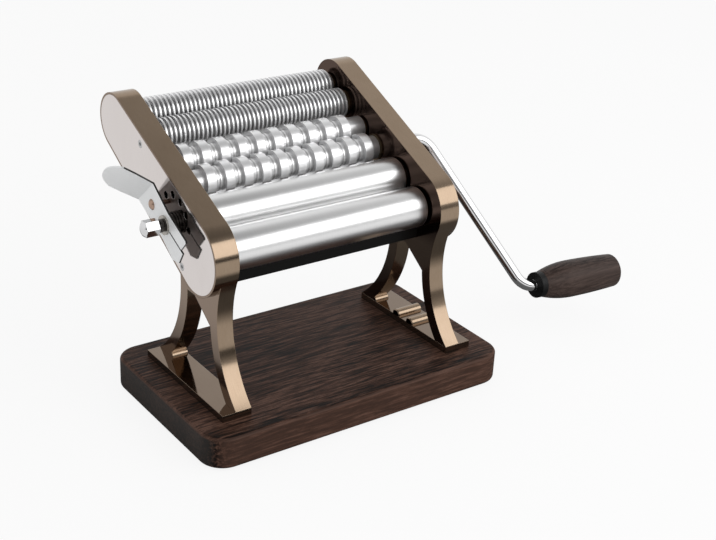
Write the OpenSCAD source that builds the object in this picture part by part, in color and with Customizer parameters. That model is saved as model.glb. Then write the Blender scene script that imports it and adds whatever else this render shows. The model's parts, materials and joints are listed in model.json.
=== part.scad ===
// Hand cranked pasta machine: two slanted side frames on a wooden base carry a pair of
// smooth sheeting rollers and two pairs of ring cutters, each pair geared together.
// X runs along the rollers with the crank at +X, Y runs to the back and Z is up.
// The origin is the middle of the underside.

/* [Base] */
// Width of the wooden base along the rollers
base_w = 224; // [210:1:260]
// Depth of the wooden base from front to back
base_d = 132; // [120:1:160]
// Thickness of the wooden base
base_t = 21; // [15:1:30]
// Radius of the base's upright corners
base_corner_r = 16; // [8:1:24]
// Radius of the base's rounded edges
base_edge_r = 2.5; // [1:0.5:5]
// Thickness of the non-slip pad under the base
pad_t = 1; // [0.5:0.5:3]
// Distance of the pad from the base's sides
pad_inset = 6; // [3:1:12]

/* [Side frames] */
// Clear width between the two side frames
frame_gap = 150; // [120:1:160]
// Thickness of the legs and of the lower part of the head
leg_t = 11; // [9:0.5:14]
// How far the left head stands out past its leg
left_step = 5; // [4:0.5:8]
// How far the right head stands out past its leg
right_step = 4; // [4:0.5:8]
// Thickness of the bearing web at the back of each head's pocket
web_t = 6; // [5:0.5:7]
// Radius of the lower, front end of the head
head_low_r = 24.6; // [23:0.2:28]
// Radius of the upper, back end of the head
head_top_r = 18.8; // [17.6:0.2:22]
// How far the uppermost cutter lies past the centre of the head's upper end
head_in = 2.4; // [1:0.2:3]
// Slope of the head and of the row of rollers
head_tilt = 26.5; // [20:0.5:32]
// Place of the lower end's centre behind the middle of the base
head_y = -8; // [-14:0.5:0]
// Height of the lower end's centre above the foot plates
head_rise = 86.9; // [80:0.5:100]
// Wall left around the cover
rim_t = 1.4; // [1:0.2:2]
// Width of the ledge that the cover rests on
ledge_w = 2; // [1.5:0.1:2.5]
// Thickness of the side covers
cover_t = 1.5; // [1:0.1:2]

/* [Legs and feet] */
// Length of each foot plate from front to back
foot_l = 96; // [90:1:110]
// Thickness of the foot plates
foot_t = 4.5; // [3:0.5:8]
// Width of the foot plate outside the leg
flange_w = 9; // [6:0.5:12]
// Radius of the front leg's hollow front edge
front_leg_r = 68.6; // [66:0.2:74]
// Radius of the back leg's hollow back edge
back_leg_r = 72; // [66:1:80]
// Place of the back leg's waist behind the middle of the base
back_waist_y = 19.2; // [17:0.2:22]
// Width of each leg from front to back
leg_w = 8.4; // [7:0.2:10]
// Height of the window between the legs
window_h = 57; // [50:0.5:58]
// Width of the window's flat top
window_top_w = 9; // [6:0.5:11]
// Rise of the slanted brace at the window's front corner
brace_h = 13; // [8:0.5:16]
// Radius of the bead at the foot of the back leg
bead_r = 3; // [2:0.5:4]
// Diameter of the half-round ribs on the right foot plate
rib_d = 5; // [3:0.5:6]
// Distance between the two ribs
rib_pitch = 15; // [10:0.5:18]
// Thread diameter of the screws that hold the feet from below
foot_screw_d = 4; // [3:0.5:4.5]

/* [Smooth rollers] */
// Diameter of the smooth rollers
smooth_d = 27; // [24:0.5:27.5]
// Gap between the smooth rollers at the thinnest setting
smooth_gap = 0.4; // [0.3:0.1:0.8]
// Diameter of the idle shaft ends
shaft_d = 8; // [6:0.5:9]
// Diameter of the shaft ends that take the crank
drive_shaft_d = 12; // [10:0.5:13]
// Depth of the round crank sockets
socket_depth = 15; // [10:0.5:18]
// Diameter of the crank's cross pin
cross_pin_d = 2.5; // [2:0.1:3]

/* [Cutters] */
// Least gap between the smooth rollers' gears and the wide cutters' gears
wide_gap = 0.8; // [0.6:0.1:2]
// Gap between the wide cutters' gears and the fine cutters' gears
fine_gap = 3; // [2:0.1:4]
// Distance between the axes of a pair of cutters
cutter_pitch = 19.4; // [19.4:0.1:20.4]
// Outside diameter of the cutter rings
cutter_d = 21.6; // [20:0.2:22]
// Diameter of the cutters' plain end collars
collar_d = 16; // [13:0.5:16.5]
// Width of each wide ring
wide_ring = 6.3; // [4:0.1:8]
// Number of rings on each wide cutter
wide_count = 10; // [8:1:10]
// Width of each fine ring
fine_ring = 1.25; // [1:0.05:2]
// Number of rings on each fine cutter
fine_count = 45; // [30:1:45]
// Height of the thin ridges on the floor of each wide groove
ridge_h = 0.35; // [0.2:0.05:0.5]

/* [Gears] */
// Width of the gears
gear_w = 5; // [4:0.5:6]
// Amount taken off each tooth's thickness so that the gears run freely
backlash = 0.3; // [0.2:0.05:0.4]

/* [Thickness regulator] */
// Offset of the eccentric journals that move the rear smooth roller
eccentric = 1.035; // [0.8:0.005:1.1]
// Diameter of the regulator shaft
reg_shaft_d = 9; // [7:0.5:9]
// Diameter of the eccentric journals
eccentric_d = 12; // [11.5:0.1:12]
// Diameter of the regulator's threaded stud
stud_d = 7.5; // [5:0.5:8]
// Direction of the lever above the level line
lever_angle = 25; // [20:1:32]
// Width of the lever at its axis
lever_w = 20; // [16:0.5:23]
// Extra width on the lever's upper side at its bend
lever_flare = 3.7; // [0:0.1:5]
// Thickness of the lever's sheet
lever_t = 1.2; // [0.8:0.1:2]
// Distance of the lever's bend from the regulator's axis
lever_bend = 28.5; // [28:0.5:36]
// Angle by which the bend line is slanted across the lever
bend_skew = 24; // [0:1:25]
// Length of the lever's bent paddle
paddle_l = 28.5; // [24:0.5:34]
// Largest width of the paddle
paddle_w = 28; // [24:0.5:30]
// Angle by which the paddle is bent outward
paddle_bend = 51; // [30:1:60]
// Length of the lever's spring tail
tail_l = 24.5; // [20:0.5:26]
// Distance of the lever from the left cover
lever_lift = 5.4; // [4:0.2:8]
// Radius of the circle of index holes
index_r = 17.6; // [15:0.1:18]
// Number of index holes
index_count = 6; // [4:1:7]
// Diameter of the index holes
index_d = 4.8; // [3:0.1:5]
// Width across the flats of the chrome nut
nut_af = 9.5; // [9:0.5:11]
// Length of the chrome nut
nut_l = 10.5; // [7:0.5:14]

/* [Crank] */
// Diameter of the crank's rod
rod_d = 8; // [6:0.5:9]
// Straight length of the crank's arm between its bends
arm_l = 108.7; // [90:0.1:112]
// Angle of the crank's arm, counted from the back through the top
crank_angle = -122.3; // [-180:0.1:180]
// Straight length of rod from the right cover to its first bend
rod_out = 16.6; // [10:0.2:24]
// Angle between the arm and the rollers' direction
arm_angle = 67.7; // [60:0.1:80]
// Radius of the rod's bends
bend_r = 15.5; // [14:0.5:22]
// Straight length of rod between the second bend and the grip
grip_lead = 1; // [0.5:0.5:12]
// Angle by which the grip leans away from the rollers' direction
grip_tilt = 3.8; // [0:0.1:6]
// Length of the grip with its ferrule
grip_l = 75; // [60:1:90]
// Diameter of the grip at its ferrule
grip_neck_d = 18.5; // [18:0.5:22]
// Largest diameter of the grip
grip_d = 27; // [24:0.5:30]
// Diameter of the grip beside its rounded end
grip_tip_d = 24; // [22:0.5:26]
// Distance from the ferrule's face to the thickest place of the grip
swell = 32; // [25:1:40]
// Length of the dark ferrule on the grip
ferrule_l = 5; // [3:0.5:8]

/* [Clearances] */
// Radial running clearance of shafts
run = 0.05; // [0.03:0.01:0.1]
// Clearance between pieces that pass each other
pass = 0.35; // [0.3:0.05:0.5]
// Radial clearance of pieces pushed onto a shaft
push_fit = 0.01; // [0.01:0.01:0.03]

/* [Hidden] */
$fn = 96;

// Heights
base_top = pad_t + base_t;
foot_top = base_top + foot_t;
head_z = foot_top + head_rise;

// Places along the rollers
in_x = frame_gap / 2;
leg_x = in_x + leg_t;
flange_x = leg_x + flange_w;
left_x = leg_x + left_step;
right_x = leg_x + right_step;
web_x = in_x + web_t;
flange_bush = 1.2;
roller_x = in_x - flange_bush - pass;
gear_x = web_x + 1;
gear_end = gear_x + gear_w;
drive_end = right_x + 2;
journal_past = 3;
gear_past = 0.5;
slot_w = cross_pin_d + pass;
slot_depth = cross_pin_d + 1;

// Places along the slanted row, counted from the front smooth roller
smooth_s = smooth_d + smooth_gap;
smooth_teeth = 18;
smooth_module = smooth_d / smooth_teeth;
smooth_tip = smooth_d / 2 + smooth_module;
cutter_teeth = 16;
cutter_module = (cutter_pitch - 0.2) / cutter_teeth;
cutter_tip = cutter_module * (cutter_teeth / 2 + 1);
index_step = 30;
swing = index_step * (index_count - 1);
travel = 2 * eccentric * sin(swing / 2);
reg_s = smooth_s + travel / 2;
reg_n = eccentric * cos(swing / 2);
dip = eccentric - reg_n;
wide_s = smooth_s + travel + smooth_tip + cutter_tip + wide_gap;
wide_top_s = wide_s + cutter_pitch;
fine_s = wide_top_s + 2 * cutter_tip + fine_gap;
fine_top_s = fine_s + cutter_pitch;
head_l = fine_top_s - head_in;
driven = [0, wide_s, fine_s];
idle = [wide_top_s, fine_top_s];

// Cutter ring patterns: the rings of one roller run in the grooves of the other
wide_groove = wide_ring + 2 * pass;
wide_pitch = wide_ring + wide_groove;
fine_groove = fine_ring + 2 * pass;
fine_pitch = fine_ring + fine_groove;
groove_d = 2 * (cutter_pitch - cutter_d / 2 - pass - ridge_h);
wide_x0 = (wide_groove - wide_count * wide_pitch) / 2;
fine_x0 = (fine_groove - fine_count * fine_pitch) / 2;

// Bushes, sleeves and tie rods
bush_wall = 1.5;
bush_lip = 1.4;
drive_bush_d = drive_shaft_d + 2 * (run + bush_wall);
idle_bush_d = shaft_d + 2 * (run + bush_wall);
reg_bush_d = reg_shaft_d + 2 * (run + bush_wall);
sleeve_bore = eccentric_d + 2 * run;
sleeve_wall = 2;
sleeve_d = sleeve_bore + 2 * sleeve_wall;
journal_bore = sleeve_d + 2 * run;
journal_d = journal_bore + 3;
sleeve_l = 10;
tie_d = 8;
tie_screw_d = 4;
tie_hole_l = 12;
tie_thread_l = tie_hole_l - 1;
tie_head_d = 1.6 * tie_screw_d;
tie_head_h = 0.6 * tie_screw_d;
tie_places = [[(smooth_s + wide_s) / 2, -15.5], [(wide_top_s + fine_s) / 2, -12]];
cover_screw_d = 3;
cover_screw_head_d = 5;
cover_screw_head_h = 1;
cover_screw_in = 5;
cover_screw_l = cover_t + cover_screw_in;
boss_d = 6.5;
cover_screws_at = [[9, -18.4], [83, 13.6]];

// Foot screws
foot_screw_head_d = 2 * foot_screw_d;
foot_screw_head_h = foot_screw_d * 0.6;
foot_screw_recess = 4;
foot_screw_in = 5;

// Scrapers
scraper_t = 1;
scraper_h = 7;
scraper_gap = 0.4;

// Outline points of the head, legs and window
leg_blend = 0.15;
head_blend = 0.03;
head_taper = asin((head_low_r - head_top_r) / head_l);
toe_y = foot_l / 2;
front_arc = meet([-toe_y, foot_top], front_leg_r, [head_y, head_z], front_leg_r + head_low_r - leg_blend);
back_arc = [back_waist_y + back_leg_r,
            foot_top + sqrt(pow(back_leg_r, 2) - pow(back_waist_y + back_leg_r - toe_y, 2))];
window_top = foot_top + window_h;
window_back = back_arc[0] - sqrt(pow(back_leg_r + leg_w, 2) - pow(back_arc[1] - window_top, 2));
brace_foot_z = window_top - brace_h;
window_front = front_arc[0] + sqrt(pow(front_leg_r + leg_w, 2) - pow(front_arc[1] - brace_foot_z, 2));
beads_y = back_arc[0] - sqrt(pow(back_leg_r + leg_w, 2) - pow(back_arc[1] - foot_top, 2));
screw_mid_z = foot_top + foot_screw_in / 2;
front_screw_y = front_arc[0] + sqrt(pow(front_leg_r + leg_w / 2, 2) - pow(front_arc[1] - screw_mid_z, 2));
back_screw_y = back_arc[0] - sqrt(pow(back_leg_r + leg_w / 2, 2) - pow(back_arc[1] - screw_mid_z, 2));

// Regulator places outward from the left cover
spacer_d = 14;
spacer_groove = 1;
spacer_rings = 3;
lever_x = left_x + lever_lift;
fold_z = lever_flare / 2;
fold_y = lever_bend - fold_z * tan(bend_skew);
fold_l = (lever_w + lever_flare) / cos(bend_skew);
paddle_tip_r = 0.57 * paddle_w;
tail_flare = 3;
tail_chamfer = 7.5;
tongue_slant = 2.5;
slit_w = 1;
slit_y = 6.5;
washer_t = 1.2;
washer_d = 12;
washer_x = lever_x + lever_t;
shank_l = 4;
nut_x = washer_x + washer_t + shank_l;
pin_d = 7;
pin_tip_d = 3;
pin_head_t = 1.8;
nut_dome = 2;

// Crank places
crank_y = head_y + wide_s * cos(head_tilt);
crank_z = head_z + wide_s * sin(head_tilt);
cross_pin_x = drive_end - slot_depth / 2;
cross_pin_l = drive_shaft_d;
bend_x = right_x + rod_out;
end_turn = arm_angle - grip_tilt;
bend_thin = 0.03;
bend_lap = 0.3;
plug_d = 14;
plug_t = 4;
plug_rim = 0.6;
grip_end_r = 6;
clip_d = 12;
clip_t = 1.5;
clip_room = 4;
grip_core = rod_d + 2 * run;
rod_end = grip_l - plug_t - clip_room / 2;

bronze = "#8b755f";
steel = "#c9c7c5";
satin = "#b9bbbd";
darkwood = "#3a2a26";
brassy = "#b08d57";
black = "#1c1b1b";

// The upper of the two points that lie rp from p and rq from q, on the side of lower y
function meet(p, rp, q, rq) =
    let (d = norm(q - p))
    let (a = (rp * rp - rq * rq + d * d) / (2 * d))
    let (h = sqrt(rp * rp - a * a))
    let (e = (q - p) / d)
    p + a * e + h * [-e[1], e[0]];

// Extrudes an outline drawn in Y and Z from x0 to x1
module along_x(x0, x1) {
    translate([x0, 0, 0]) rotate([90, 0, 90]) linear_extrude(x1 - x0) children();
}

// Round bar along X
module bar_x(d, x0, x1) {
    translate([x0, 0, 0]) rotate([0, 90, 0]) cylinder(d = d, h = x1 - x0);
}

// Six-sided bar along X
module hex_x(af, x0, x1) {
    translate([x0, 0, 0]) rotate([0, 90, 0]) cylinder(d = af / cos(30), h = x1 - x0, $fn = 6);
}

// Turns a profile of radius and place about the X axis
module turned() {
    rotate([0, 90, 0]) rotate_extrude() children();
}

// Half outline of a dome of radius r and height h
module dome(r, h) {
    ball_r = (r * r + h * h) / (2 * h);
    intersection() {
        translate([0, h - ball_r]) circle(ball_r);
        square([r, h]);
    }
}

// Moves to a place in the slanted row: s along it and n square to it
module slant(s = 0, n = 0) {
    translate([0, head_y, head_z]) rotate([head_tilt, 0, 0]) translate([0, s, n]) children();
}

// Mirrors a right-hand piece to the left side when side is -1
module on_side(side) {
    if (side > 0) children();
    else mirror([1, 0, 0]) children();
}

// Outline of the head, drawn in by inset
module head_outline(inset = 0) {
    low = head_low_r - inset;
    top = head_top_r - inset;
    circle(low);
    translate([head_l, 0]) circle(top);
    side = [sin(head_taper), cos(head_taper)];
    low_point = (low - head_blend) * side;
    top_point = (top - head_blend) * side;
    polygon([
        [low_point[0], -low_point[1]],
        [head_l + top_point[0], -top_point[1]],
        [head_l + top_point[0], top_point[1]],
        low_point
    ]);
}

// Outline of the head in its slanted place
module head_shape(inset = 0) {
    translate([head_y, head_z]) rotate(head_tilt) head_outline(inset);
}

// Slab with round upright corners and rounded edges, standing on z = 0
module rounded_slab(w, d, t, corner, edge) {
    cx = w / 2 - corner;
    cy = d / 2 - corner;
    translate([-cx, -d / 2, edge]) cube([2 * cx, d, t - 2 * edge]);
    translate([-w / 2, -cy, edge]) cube([w, 2 * cy, t - 2 * edge]);
    translate([-cx, -d / 2 + edge, 0]) cube([2 * cx, d - 2 * edge, t]);
    translate([-w / 2 + edge, -cy, 0]) cube([w - 2 * edge, 2 * cy, t]);
    for (sx = [-1, 1], sy = [-1, 1]) translate([sx * cx, sy * cy, 0]) {
        translate([0, 0, edge]) cylinder(r = corner, h = t - 2 * edge);
        cylinder(r = corner - edge, h = t);
        for (z = [edge, t - edge]) translate([0, 0, z])
            rotate_extrude() translate([corner - edge, 0]) circle(edge);
    }
    for (z = [edge, t - edge]) {
        for (sy = [-1, 1]) translate([0, sy * (d / 2 - edge), z]) bar_x(2 * edge, -cx, cx);
        for (sx = [-1, 1]) translate([sx * (w / 2 - edge), cy, z])
            rotate([90, 0, 0]) cylinder(r = edge, h = 2 * cy);
    }
}

// Places of the foot screws, one under the middle of each leg
module foot_screw_places() {
    for (sx = [-1, 1], y = [front_screw_y, back_screw_y])
        translate([sx * (in_x + leg_t / 2), y, 0]) children();
}

module wood_base() {
    color(darkwood) difference() {
        translate([0, 0, pad_t]) rounded_slab(base_w, base_d, base_t, base_corner_r, base_edge_r);
        foot_screw_places() {
            translate([0, 0, pad_t - 1]) cylinder(d = foot_screw_d + 2 * run, h = base_t + 2);
            translate([0, 0, pad_t - 1])
                cylinder(d = foot_screw_head_d + 2 * pass, h = foot_screw_recess + 1);
        }
    }
}

module base_pad() {
    color(black) difference() {
        linear_extrude(pad_t)
            rounded_rect(base_w - 2 * pad_inset, base_d - 2 * pad_inset, base_corner_r - pad_inset);
        foot_screw_places() translate([0, 0, -1]) cylinder(d = foot_screw_head_d + 2 * pass, h = pad_t + 2);
    }
}

module rounded_rect(w, d, r) {
    square([w - 2 * r, d], center = true);
    square([w, d - 2 * r], center = true);
    for (sx = [-1, 1], sy = [-1, 1]) translate([sx * (w / 2 - r), sy * (d / 2 - r)]) circle(r);
}

module foot_screws() {
    head_z0 = pad_t + foot_screw_recess - foot_screw_head_h;
    color(steel) foot_screw_places() {
        translate([0, 0, head_z0]) cylinder(d = foot_screw_head_d, h = foot_screw_head_h);
        translate([0, 0, head_z0]) cylinder(d = foot_screw_d, h = foot_top + foot_screw_in - head_z0);
    }
}

// Right-hand foot plate with its screw holes
module foot_plate_blank() {
    difference() {
        translate([in_x, -toe_y, base_top]) cube([flange_x - in_x, foot_l, foot_t]);
        foot_screw_places() translate([0, 0, base_top - 1])
            cylinder(d = foot_screw_d + 2 * run, h = foot_t + 2);
    }
}

module left_foot_plate() {
    color(bronze) on_side(-1) foot_plate_blank();
}

module right_foot_plate() {
    color(bronze) {
        foot_plate_blank();
        intersection() {
            for (m = [-1, 1]) translate([0, m * rib_pitch / 2, foot_top]) bar_x(rib_d, in_x, flange_x);
            translate([in_x, -toe_y, base_top]) cube([flange_x - in_x, foot_l, foot_t + rib_d]);
        }
    }
}

// Side view of the two legs, up to the middle of the head's lower end
module leg_outline() {
    difference() {
        polygon([
            [-toe_y - 1, foot_top],
            [toe_y + 1, foot_top],
            [toe_y + 1, head_z - head_low_r / 2],
            [head_y, head_z],
            front_arc
        ]);
        translate(front_arc) circle(front_leg_r);
        translate(back_arc) circle(back_leg_r);
        leg_window();
    }
    intersection() {
        translate([beads_y - bead_r / 2, foot_top]) circle(bead_r);
        translate([-toe_y, foot_top]) square([foot_l, 2 * bead_r]);
    }
}

// Opening between the legs: between both hollow edges and under the slanted brace
module leg_window() {
    difference() {
        polygon([
            [-toe_y, foot_top - 1],
            [toe_y, foot_top - 1],
            [toe_y, brace_foot_z],
            [window_back, window_top],
            [window_back - window_top_w, window_top],
            [window_front, brace_foot_z],
            [-toe_y, brace_foot_z]
        ]);
        translate(front_arc) circle(front_leg_r + leg_w);
        translate(back_arc) circle(back_leg_r + leg_w);
    }
}

// Places along the row that carry bushes, with the bush diameter of each
module bush_bores(side) {
    if (side > 0) for (s = driven) slant(s) bar_x(drive_bush_d, in_x - 1, web_x + 1);
    else for (s = driven) slant(s) bar_x(idle_bush_d, in_x - 1, web_x + 1);
    for (s = idle) slant(s) bar_x(idle_bush_d, in_x - 1, web_x + 1);
}

// Side frame built on the right, with step as the head's overhang
module frame_blank(step, side) {
    out_x = leg_x + step;
    difference() {
        union() {
            along_x(in_x, leg_x) leg_outline();
            along_x(in_x, out_x) head_shape();
        }
        along_x(out_x - cover_t, out_x + 1) head_shape(rim_t);
        difference() {
            along_x(web_x, out_x) head_shape(rim_t + ledge_w);
            for (p = cover_screws_at) slant(p[0], p[1]) bar_x(boss_d, web_x - 1, out_x);
        }
        for (p = cover_screws_at) slant(p[0], p[1])
            bar_x(cover_screw_d, out_x - cover_screw_l, out_x);
        for (p = tie_places) slant(p[0], p[1]) bar_x(tie_screw_d + 2 * run, in_x - 1, web_x + 1);
        foot_screw_places() translate([0, 0, foot_top - 1]) cylinder(d = foot_screw_d, h = foot_screw_in + 1);
        bush_bores(side);
    }
}

module left_frame() {
    color(bronze) on_side(-1) difference() {
        frame_blank(left_step, -1);
        slant(reg_s, reg_n) bar_x(reg_bush_d, in_x - 1, web_x + 1);
    }
}

module right_frame() {
    color(bronze) difference() {
        frame_blank(right_step, 1);
        slant(reg_s, reg_n) bar_x(journal_d + 2 * (eccentric + pass), in_x - 1, web_x + 1);
    }
}

// Cover plate built on the right for a head that ends at out_x
module cover_blank(out_x) {
    difference() {
        along_x(out_x - cover_t, out_x) head_shape(rim_t + run);
        for (p = cover_screws_at) slant(p[0], p[1]) {
            bar_x(cover_screw_d + 2 * run, out_x - cover_t - 1, out_x + 1);
            bar_x(cover_screw_head_d + 2 * run, out_x - cover_screw_head_h, out_x + 1);
        }
    }
}

module left_cover() {
    color(steel) on_side(-1) difference() {
        cover_blank(left_x);
        slant(reg_s, reg_n) bar_x(reg_shaft_d + 2 * pass, left_x - cover_t - 1, left_x + 1);
        at_regulator() for (i = [0 : index_count - 1]) rotate([i * index_step, 0, 0])
            translate([0, index_r, 0]) bar_x(index_d, left_x - cover_t - 1, left_x + 1);
    }
}

module right_cover() {
    color(steel) difference() {
        cover_blank(right_x);
        for (s = driven) slant(s) bar_x(drive_shaft_d + 2 * pass, right_x - cover_t - 1, right_x + 1);
        slant(reg_s, reg_n) bar_x(reg_bush_d, right_x - cover_t - 1, right_x + 1);
    }
}

module cover_screws() {
    color(steel) for (side = [-1, 1]) on_side(side) {
        out_x = side < 0 ? left_x : right_x;
        for (p = cover_screws_at) slant(p[0], p[1]) difference() {
            union() {
                bar_x(cover_screw_d, out_x - cover_screw_l, out_x - cover_screw_head_h);
                bar_x(cover_screw_head_d, out_x - cover_screw_head_h, out_x);
            }
            hex_x(cover_screw_d * 0.7, out_x - cover_screw_head_h * 0.7, out_x + 1);
        }
    }
}

// Flanged bush with its lip on the inner side of the frame
module bush(d, bore) {
    difference() {
        union() {
            bar_x(d, in_x, web_x);
            bar_x(d + 2 * bush_lip, in_x - flange_bush, in_x);
        }
        bar_x(bore, in_x - flange_bush - 1, web_x + 1);
    }
}

module left_bushes() {
    color(brassy) on_side(-1) {
        for (s = concat(driven, idle)) slant(s) bush(idle_bush_d, shaft_d + 2 * run);
        slant(reg_s, reg_n) difference() {
            bar_x(reg_bush_d, in_x, left_x - cover_t);
            bar_x(reg_shaft_d + 2 * run, in_x - 1, left_x);
        }
    }
}

module right_bushes() {
    color(brassy) {
        for (s = driven) slant(s) bush(drive_bush_d, drive_shaft_d + 2 * run);
        for (s = idle) slant(s) bush(idle_bush_d, shaft_d + 2 * run);
        slant(reg_s, reg_n) difference() {
            bar_x(reg_bush_d, right_x - cover_t, right_x);
            bar_x(reg_shaft_d + 2 * run, right_x - cover_t - 1, right_x + 1);
        }
    }
}

// Tie rod between the frames with a threaded hole in each end
module tie_rod(place) {
    slant(place[0], place[1]) difference() {
        bar_x(tie_d, -in_x, in_x);
        for (side = [-1, 1]) on_side(side) bar_x(tie_screw_d, in_x - tie_hole_l, in_x + 1);
    }
}

module lower_tie_rod() {
    color(steel) tie_rod(tie_places[0]);
}

module upper_tie_rod() {
    color(steel) tie_rod(tie_places[1]);
}

module tie_rod_screws() {
    color(steel) for (p = tie_places, side = [-1, 1]) slant(p[0], p[1]) on_side(side) {
        bar_x(tie_screw_d, in_x - tie_thread_l, web_x);
        bar_x(tie_head_d, web_x, web_x + tie_head_h);
    }
}

// Blade under a smooth roller, between the frames, lower by drop
module scraper(s, drop) {
    slant(s, -smooth_d / 2 - scraper_gap - drop) translate([-in_x, -scraper_t / 2, -scraper_h])
        cube([frame_gap, scraper_t, scraper_h]);
}

module front_scraper() {
    color(satin) scraper(0, 0);
}

module rear_scraper() {
    color(satin) scraper(reg_s, dip);
}

// Idle shaft end on the left, out to the pocket
module left_journal() {
    bar_x(shaft_d, -web_x - journal_past, -roller_x);
}

// Shaft end on the right that takes the crank
module drive_journal() {
    difference() {
        bar_x(drive_shaft_d, roller_x, drive_end);
        bar_x(rod_d + 2 * run, drive_end - socket_depth, drive_end + 1);
        translate([drive_end - slot_depth, -drive_shaft_d / 2 - 1, -slot_w / 2])
            cube([slot_depth + 1, drive_shaft_d + 2, slot_w]);
    }
}

// Shaft end on the right that carries only a gear
module idle_journal() {
    bar_x(shaft_d, roller_x, gear_end + gear_past);
}

module front_smooth_roller() {
    color(satin) slant() {
        rounded_roller(smooth_d, -roller_x, roller_x);
        left_journal();
        drive_journal();
    }
}

// Roller body with its edges eased
module rounded_roller(d, x0, x1) {
    ease = 0.8;
    translate([x0, 0, 0]) turned() {
        square([d / 2 - ease, x1 - x0]);
        translate([0, ease]) square([d / 2, x1 - x0 - 2 * ease]);
        for (x = [ease, x1 - x0 - ease]) translate([d / 2 - ease, x]) circle(ease);
    }
}

module rear_smooth_roller() {
    color(satin) slant(smooth_s) difference() {
        union() {
            rounded_roller(smooth_d, -roller_x, roller_x);
            bar_x(journal_d, roller_x, gear_end);
        }
        bar_x(journal_bore, -roller_x - 1, gear_end + 1);
    }
}

module rear_roller_sleeves() {
    color(brassy) slant(smooth_s) for (x = [-roller_x + 1, gear_end - sleeve_l - 1]) difference() {
        bar_x(sleeve_d, x, x + sleeve_l);
        bar_x(sleeve_bore, x - 1, x + sleeve_l + 1);
    }
}

// Ring profile of a cutter: count rings from x0, each followed by a groove
module ring_profile(x0, ring, groove, count, ridges) {
    translate([0, x0]) square([groove_d / 2, count * (ring + groove) - groove]);
    for (i = [0 : count - 1]) translate([0, x0 + i * (ring + groove)]) square([cutter_d / 2, ring]);
    if (ridges > 0) for (i = [0 : count - 2], k = [1 : ridges])
        translate([0, x0 + i * (ring + groove) + ring + k * groove / (ridges + 1) - groove / 12])
            square([groove_d / 2 + ridge_h, groove / 6]);
}

// Cutter with its rings and plain end collars
module cutter(x0, ring, groove, count, ridges) {
    turned() {
        ring_profile(x0, ring, groove, count, ridges);
        translate([0, -roller_x]) square([collar_d / 2, roller_x + x0]);
        translate([0, x0 + count * (ring + groove) - groove])
            square([collar_d / 2, roller_x - x0 - count * (ring + groove) + groove]);
    }
    left_journal();
}

module lower_wide_cutter() {
    color(satin) slant(wide_s) {
        cutter(wide_x0 + wide_pitch / 4, wide_ring, wide_groove, wide_count, 2);
        drive_journal();
    }
}

module upper_wide_cutter() {
    color(satin) slant(wide_top_s) {
        cutter(wide_x0 - wide_pitch / 4, wide_ring, wide_groove, wide_count, 2);
        idle_journal();
    }
}

module lower_fine_cutter() {
    color(satin) slant(fine_s) {
        cutter(fine_x0 + fine_pitch / 4, fine_ring, fine_groove, fine_count, 0);
        drive_journal();
    }
}

module upper_fine_cutter() {
    color(satin) slant(fine_top_s) {
        cutter(fine_x0 - fine_pitch / 4, fine_ring, fine_groove, fine_count, 0);
        idle_journal();
    }
}

// Angle in degrees that an involute of base radius b has turned through at radius r
function involute_turn(b, r) = let (t = sqrt(max(r * r / (b * b) - 1, 0))) t * 180 / PI - atan(t);

// One flank of a tooth from its root to its tip, on the side m of the direction turn
function flank(m, b, root, tip, half, turn) = concat(
    [root * [sin(turn + m * half), cos(turn + m * half)]],
    [for (i = [0 : 4])
        let (r = max(root, b) + (tip - max(root, b)) * i / 4)
        let (a = turn + m * (half - involute_turn(b, r)))
        r * [sin(a), cos(a)]]
);

function backward(list) = [for (i = [len(list) - 1 : -1 : 0]) list[i]];

// Spur gear with involute teeth; a tooth or a gap faces the mate as phase says
module spur_gear(module_mm, teeth, bore, phase) {
    pitch_r = module_mm * teeth / 2;
    base_r = pitch_r * cos(20);
    tip_r = pitch_r + module_mm;
    root_r = pitch_r - 1.25 * module_mm;
    half = 90 / teeth - backlash / pitch_r * 90 / PI + involute_turn(base_r, pitch_r);
    along_x(gear_x, gear_end) difference() {
        polygon([
            for (i = [0 : teeth - 1])
                let (turn = 90 + (i + phase) * 360 / teeth)
                each concat(flank(-1, base_r, root_r, tip_r, half, turn),
                            backward(flank(1, base_r, root_r, tip_r, half, turn)))
        ]);
        circle(d = bore);
    }
}

module front_smooth_gear() {
    color(brassy) slant() spur_gear(smooth_module, smooth_teeth, drive_shaft_d + 2 * push_fit, 0);
}

module rear_smooth_gear() {
    color(brassy) slant(smooth_s) spur_gear(smooth_module, smooth_teeth, journal_d + 2 * push_fit, 0.5);
}

module lower_wide_gear() {
    color(brassy) slant(wide_s) spur_gear(cutter_module, cutter_teeth, drive_shaft_d + 2 * push_fit, 0);
}

module upper_wide_gear() {
    color(brassy) slant(wide_top_s) spur_gear(cutter_module, cutter_teeth, shaft_d + 2 * push_fit, 0.5);
}

module lower_fine_gear() {
    color(brassy) slant(fine_s) spur_gear(cutter_module, cutter_teeth, drive_shaft_d + 2 * push_fit, 0);
}

module upper_fine_gear() {
    color(brassy) slant(fine_top_s) spur_gear(cutter_module, cutter_teeth, shaft_d + 2 * push_fit, 0.5);
}

// Moves to the regulator's axis on the left, with Y along the lever and X outward
module at_regulator() {
    slant(reg_s, reg_n) rotate([lever_angle - head_tilt, 0, 0]) children();
}

// Eccentric journal from x0 to x1 at its thinnest setting
module eccentric_journal(x0, x1) {
    rotate([270 - swing / 2, 0, 0]) translate([0, eccentric, 0]) bar_x(eccentric_d, x0, x1);
}

module regulator_shaft() {
    color(steel) slant(reg_s, reg_n) {
        bar_x(reg_shaft_d, -lever_x, right_x);
        bar_x(stud_d, -nut_x - nut_l / 2, -lever_x);
        eccentric_journal(-roller_x + 1, -roller_x + 1 + sleeve_l);
        eccentric_journal(gear_end - sleeve_l - 1, gear_end - 1);
    }
}

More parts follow.
